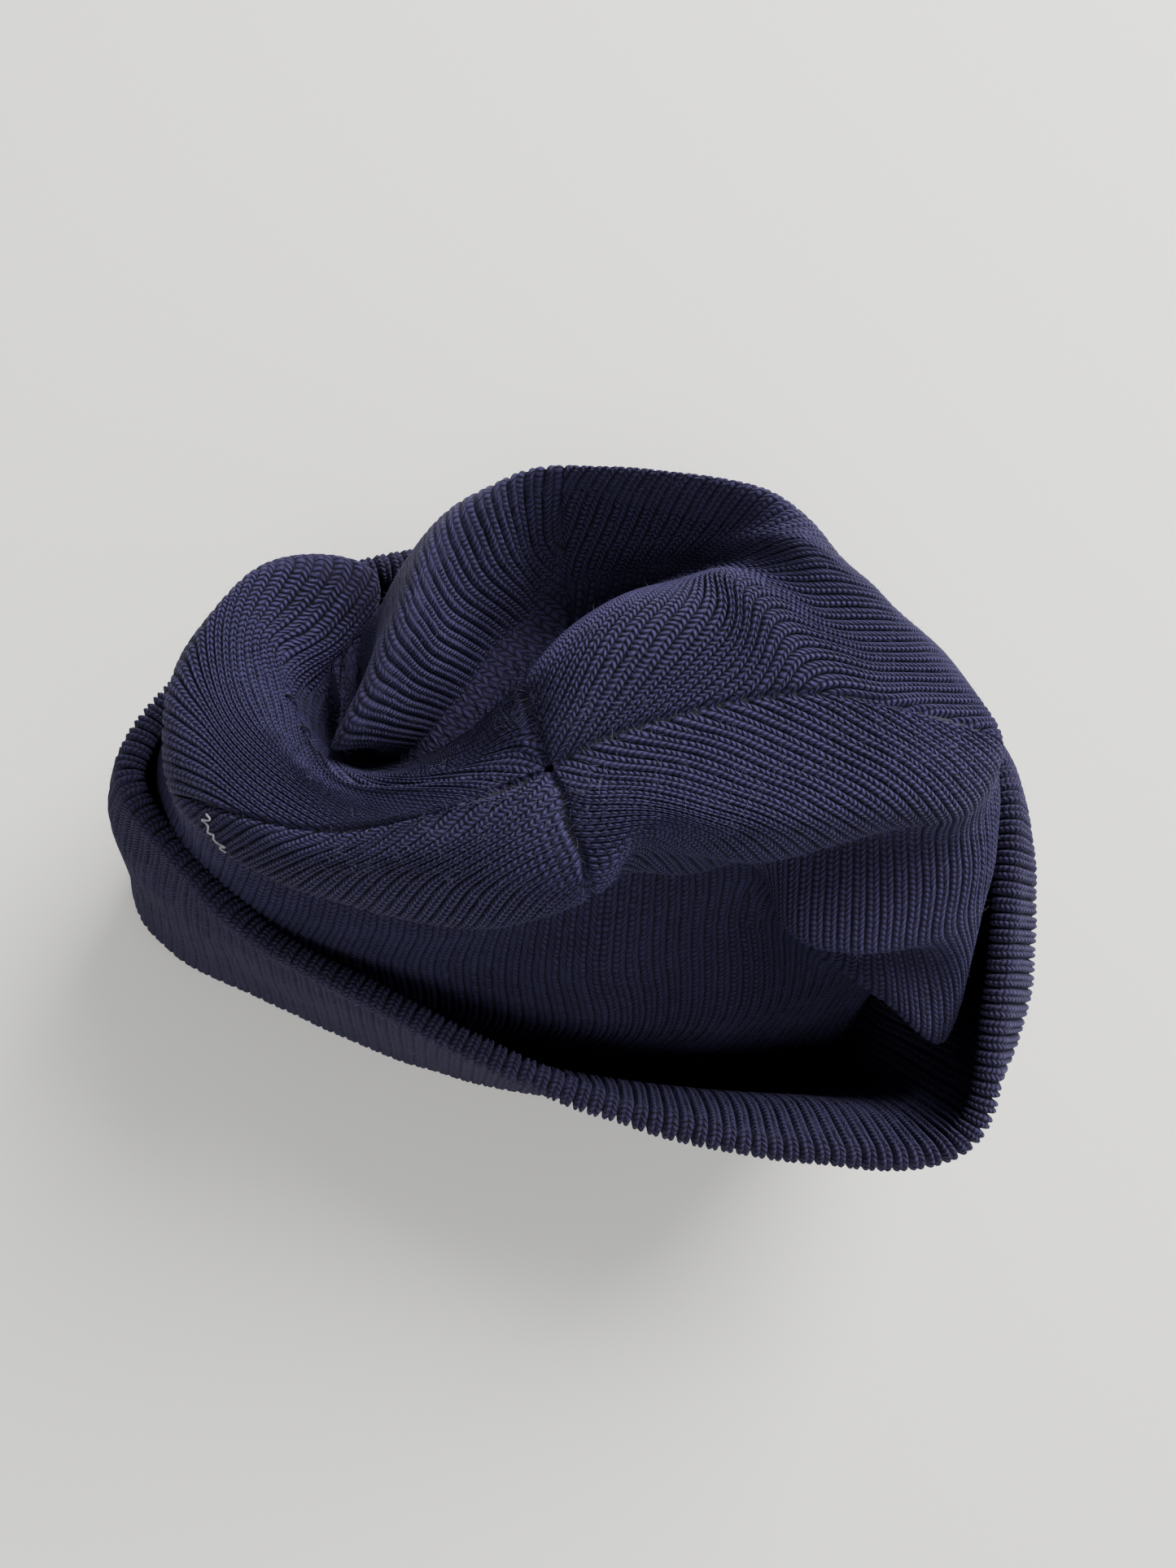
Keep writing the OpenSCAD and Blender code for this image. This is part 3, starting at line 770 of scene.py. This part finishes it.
# ---------------------------------------------------------------- seams and loose thread
def tube_mesh(name, route, radius, sides=8):
    """A tube with round ends along a route of points in mm; radius may change along it."""
    n = len(route)
    radius = np.broadcast_to(radius, (n,))
    heading = unit(np.gradient(route, axis=0))
    side = unit(np.cross(heading, [0.3, 0.2, 1.0]))
    other = np.cross(side, heading)
    w = np.linspace(0, 2 * math.pi, sides, endpoint=False)
    ring = side[:, None] * np.cos(w)[None, :, None] + other[:, None] * np.sin(w)[None, :, None]
    grid = route[:, None] + ring * radius[:, None, None]
    ends = [route[:1, None] + 0 * grid[:1], route[-1:, None] + 0 * grid[:1]]
    grid = np.concatenate([ends[0], grid, ends[1]])
    uv = np.zeros((grid.shape[0], sides + 1, 2))
    piece = grid_mesh(name, grid, uv, round_it=True)
    bm = bmesh.new()
    bm.from_mesh(piece.data)
    bmesh.ops.remove_doubles(bm, verts=bm.verts, dist=1e-7)
    bm.to_mesh(piece.data)
    bm.free()
    return piece


SEAM_NAMES = ("right", "back", "left", "front")
SEAM_POINTS = 260
SEAM_SUNK = 1.9         # mm from the skin down to the middle of the seam
SEAM_BUMPS = 0.12       # mm that the overlocking swells and shrinks it
SEAM_BUMP_STEP = 1.9    # radians of that from one point to the next
for line, name in zip(SEAM_LINES, SEAM_NAMES):
    v = np.linspace(DART_FOOT[line], CROWN_TOP, SEAM_POINTS)
    s = np.full(v.shape, float(line))
    path = skin(s, v) - outward(s, v) * SEAM_SUNK
    wobble = SEAM_BUMPS * np.sin(np.arange(len(v)) * SEAM_BUMP_STEP)
    seam = tube_mesh("crown_seam_" + name, path, SEAM_RADIUS + wobble, 8)
    finish_piece(seam, seam_thread_and_shade_material, "seam_thread", "crown_seam_" + name)

# Line and ring numbers that the loose thread passes
THREAD_ROUTE = ((13.1, 6.6), (13.2, 6.5), (13.3, 6.42), (13.4, 6.38), (13.5, 6.37),
                (13.6, 6.33), (13.7, 6.25))
THREAD_POINTS = 60
THREAD_RADIUS = 0.17    # mm
THREAD_LIFT = 0.3       # mm off the skin
THREAD_SMOOTHING = 4
route = np.array(THREAD_ROUTE)
dense = np.linspace(0, len(route) - 1, THREAD_POINTS)
s = np.interp(dense, range(len(route)), route[:, 0])
v = np.interp(dense, range(len(route)), route[:, 1])
# Kinks, as in a thread that was cut and has sprung back
s, v = s + 0.03 * np.sin(dense * 3.1), v + 0.05 * np.sin(dense * 4.2)
path = skin(s, v) + outward(s, v) * THREAD_LIFT
for _ in range(THREAD_SMOOTHING):
    path[1:-1] = (path[:-2] + 2 * path[1:-1] + path[2:]) / 4
thread = tube_mesh("thread_tail", path, THREAD_RADIUS, 6)
finish_piece(thread, loose_material, "loose_thread", "thread_tail")

# ---------------------------------------------------------------- stray fibres
FIBRE_SEED = 11
FIBRE_STEPS = 6
FIBRE_RADIUS = 0.026    # mm
BODY_FIBRES = 5600
CUFF_FIBRES = 1600
BODY_REACH = (0.8, 2.8)  # mm, shortest and longest
CUFF_REACH = (0.8, 2.4)
ROOT_DEPTH = 0.5        # mm under the skin, so no fibre floats
CUFF_ROOT_DEPTH = 0.4


def fibre_mesh(name, roots, normals, length, radius, rng):
    """Short curling hairs that stand up a little from the knit."""
    count = len(roots)
    across = unit(np.cross(normals, unit(rng.normal(size=(count, 3)))))
    heading = unit(across + normals * rng.uniform(0.1, 0.9, (count, 1)))
    bend = unit(np.cross(heading, rng.normal(size=(count, 3))))
    reach = rng.uniform(*length, (count, 1, 1))
    t = np.linspace(0, 1, FIBRE_STEPS)[None, :, None]
    curl = rng.uniform(-0.6, 0.6, (count, 1, 1))
    path = roots[:, None] + reach * (heading[:, None] * t + bend[:, None] * curl * t ** 2
                                     - normals[:, None] * 0.25 * t ** 3)
    side = bend[:, None] * np.ones((1, FIBRE_STEPS, 1))
    other = np.cross(heading, bend)[:, None] * np.ones((1, FIBRE_STEPS, 1))
    taper = radius * (1 - 0.6 * t)
    corners = [path + taper * (side * math.cos(w) + other * math.sin(w))
               for w in (0, 2 * math.pi / 3, 4 * math.pi / 3)]
    verts = np.stack(corners, 2).reshape(-1, 3) * MM
    f = np.arange(count)[:, None, None] * FIBRE_STEPS * 3
    k = np.arange(FIBRE_STEPS - 1)[None, :, None] * 3
    j = np.arange(3)[None, None, :]
    a, b = f + k + j, f + k + (j + 1) % 3
    faces = np.stack([a, b, b + 3, a + 3], -1).reshape(-1, 4)
    ends = np.concatenate([f[:, 0] + [[2, 1, 0]], f[:, 0] + (FIBRE_STEPS - 1) * 3 + [[0, 1, 2]]])
    mesh = bpy.data.meshes.new(name)
    mesh.from_pydata(verts.tolist(), [], faces.tolist() + ends.tolist())
    mesh.polygons.foreach_set("use_smooth", np.ones(len(mesh.polygons), bool))
    mesh.update()
    piece = bpy.data.objects.new(name, mesh)
    bpy.context.scene.collection.objects.link(piece)
    return piece


def body_roots(count, rng):
    """Places and normals for fibres all over the wall and the crown."""
    roots, normals = [], []
    for sector in SECTORS:
        q = rng.uniform(-0.98, 0.98, count // 4)
        v = rng.uniform(0.6, TOP - 0.8, count // 4)
        s = sector.lines_at(q, v)
        normals.append(outward(s, v))
        roots.append(skin(s, v) - normals[-1] * ROOT_DEPTH)
    return np.concatenate(roots), np.concatenate(normals)


def cuff_roots(count, rng):
    """The same for the outside of the cuff."""
    s = rng.uniform(0, LINES, count)
    t = rng.uniform(0.2, 1.0, count)
    n, _ = cuff_directions(s, t)
    return cuff_middle(s, t) + n * (half_gap(t) + PLY - CUFF_ROOT_DEPTH)[:, None], n


fibre_material = thread_material("fibre", (96, 92, 136))
rng = np.random.RandomState(FIBRE_SEED)
fuzz = fibre_mesh("body_fuzz", *body_roots(BODY_FIBRES, rng), BODY_REACH, FIBRE_RADIUS, rng)
finish_piece(fuzz, fibre_material, "shell_knit", "body_wall")
fuzz = fibre_mesh("cuff_fuzz", *cuff_roots(CUFF_FIBRES, rng), CUFF_REACH, FIBRE_RADIUS, rng)
finish_piece(fuzz, fibre_material, "lining_knit", "cuff_outer")

# ---------------------------------------------------------------- floor, light and camera
FLOOR_HALF = 3.0        # m
FLOOR_COLOUR = (248, 246, 240)


def floor_piece():
    """Plain pale floor."""
    mesh = bpy.data.meshes.new("floor")
    half = FLOOR_HALF
    mesh.from_pydata([(-half, -half, 0), (half, -half, 0), (half, half, 0), (-half, half, 0)],
                     [], [(0, 1, 2, 3)])
    piece = bpy.data.objects.new("floor", mesh)
    bpy.context.scene.collection.objects.link(piece)
    material, nodes, _ = new_material("pale_floor")
    bsdf = nodes["Principled BSDF"]
    bsdf.inputs["Base Color"].default_value = linear(FLOOR_COLOUR)
    bsdf.inputs["Roughness"].default_value = 0.9
    mesh.materials.append(material)


floor_piece()


LIGHT_TARGET = (0, 0, 0.05)


def area_light(name, place, size, power):
    """A square light that faces the cap."""
    light = bpy.data.lights.new(name, "AREA")
    light.size = size
    light.energy = power
    lamp = bpy.data.objects.new(name, light)
    bpy.context.scene.collection.objects.link(lamp)
    lamp.location = place
    aim = Vector(LIGHT_TARGET) - Vector(place)
    lamp.rotation_euler = aim.to_track_quat("-Z", "Y").to_euler()


area_light("window", (0.72, 0.82, 0.75), 0.8, 40.0)
area_light("fill", (0.0, -0.45, 1.2), 0.4, 5.5)
SKY_COLOUR = (0.95, 0.97, 1.0, 1)
world = bpy.data.worlds.new("studio")
bpy.context.scene.world = world
world.use_nodes = True
sky_nodes, sky_links = world.node_tree.nodes, world.node_tree.links
background = sky_nodes["Background"]
background.inputs[0].default_value = SKY_COLOUR
toward = node(sky_nodes, "ShaderNodeSeparateXYZ")
sky_links.new(node(sky_nodes, "ShaderNodeTexCoord").outputs["Generated"], toward.inputs[0])


def sky_ramp(axis, start, end, value_start, value_end):
    """Strength of the room's light along one axis of the direction it comes from."""
    ramp = node(sky_nodes, "ShaderNodeMapRange", clamp=True)
    ramp.inputs["From Min"].default_value = start
    ramp.inputs["From Max"].default_value = end
    ramp.inputs["To Min"].default_value = value_start
    ramp.inputs["To Max"].default_value = value_end
    sky_links.new(toward.outputs[axis], ramp.inputs["Value"])
    return ramp.outputs[0]


# The room is dark overhead, where the viewer's own shadow falls, dim on the left
# and dull close to the floor
overhead = sky_ramp(2, 0.62, 0.92, 1.15, 0.15)
leftward = sky_ramp(0, -0.8, 0.6, 0.15, 1.1)
low = sky_ramp(2, 0.0, 0.45, 0.5, 1.0)
sky_maths = Maths(sky_nodes, sky_links)
sky = sky_maths("MULTIPLY", overhead, leftward)
sky_links.new(sky_maths("MULTIPLY", sky, low), background.inputs[1])

CAMERA_PLACE = (0.0086, -0.0200, 0.269)
CAMERA_TILT = math.radians(7.0)
SENSOR = 36.0           # mm
LENS = 27.1             # mm
camera_data = bpy.data.cameras.new("camera")
camera_data.sensor_width = SENSOR
camera_data.lens = LENS
camera_data.clip_start = 0.01
camera = bpy.data.objects.new("camera", camera_data)
bpy.context.scene.collection.objects.link(camera)
camera.location = CAMERA_PLACE
camera.rotation_euler = (CAMERA_TILT, 0, 0)
bpy.context.scene.camera = camera
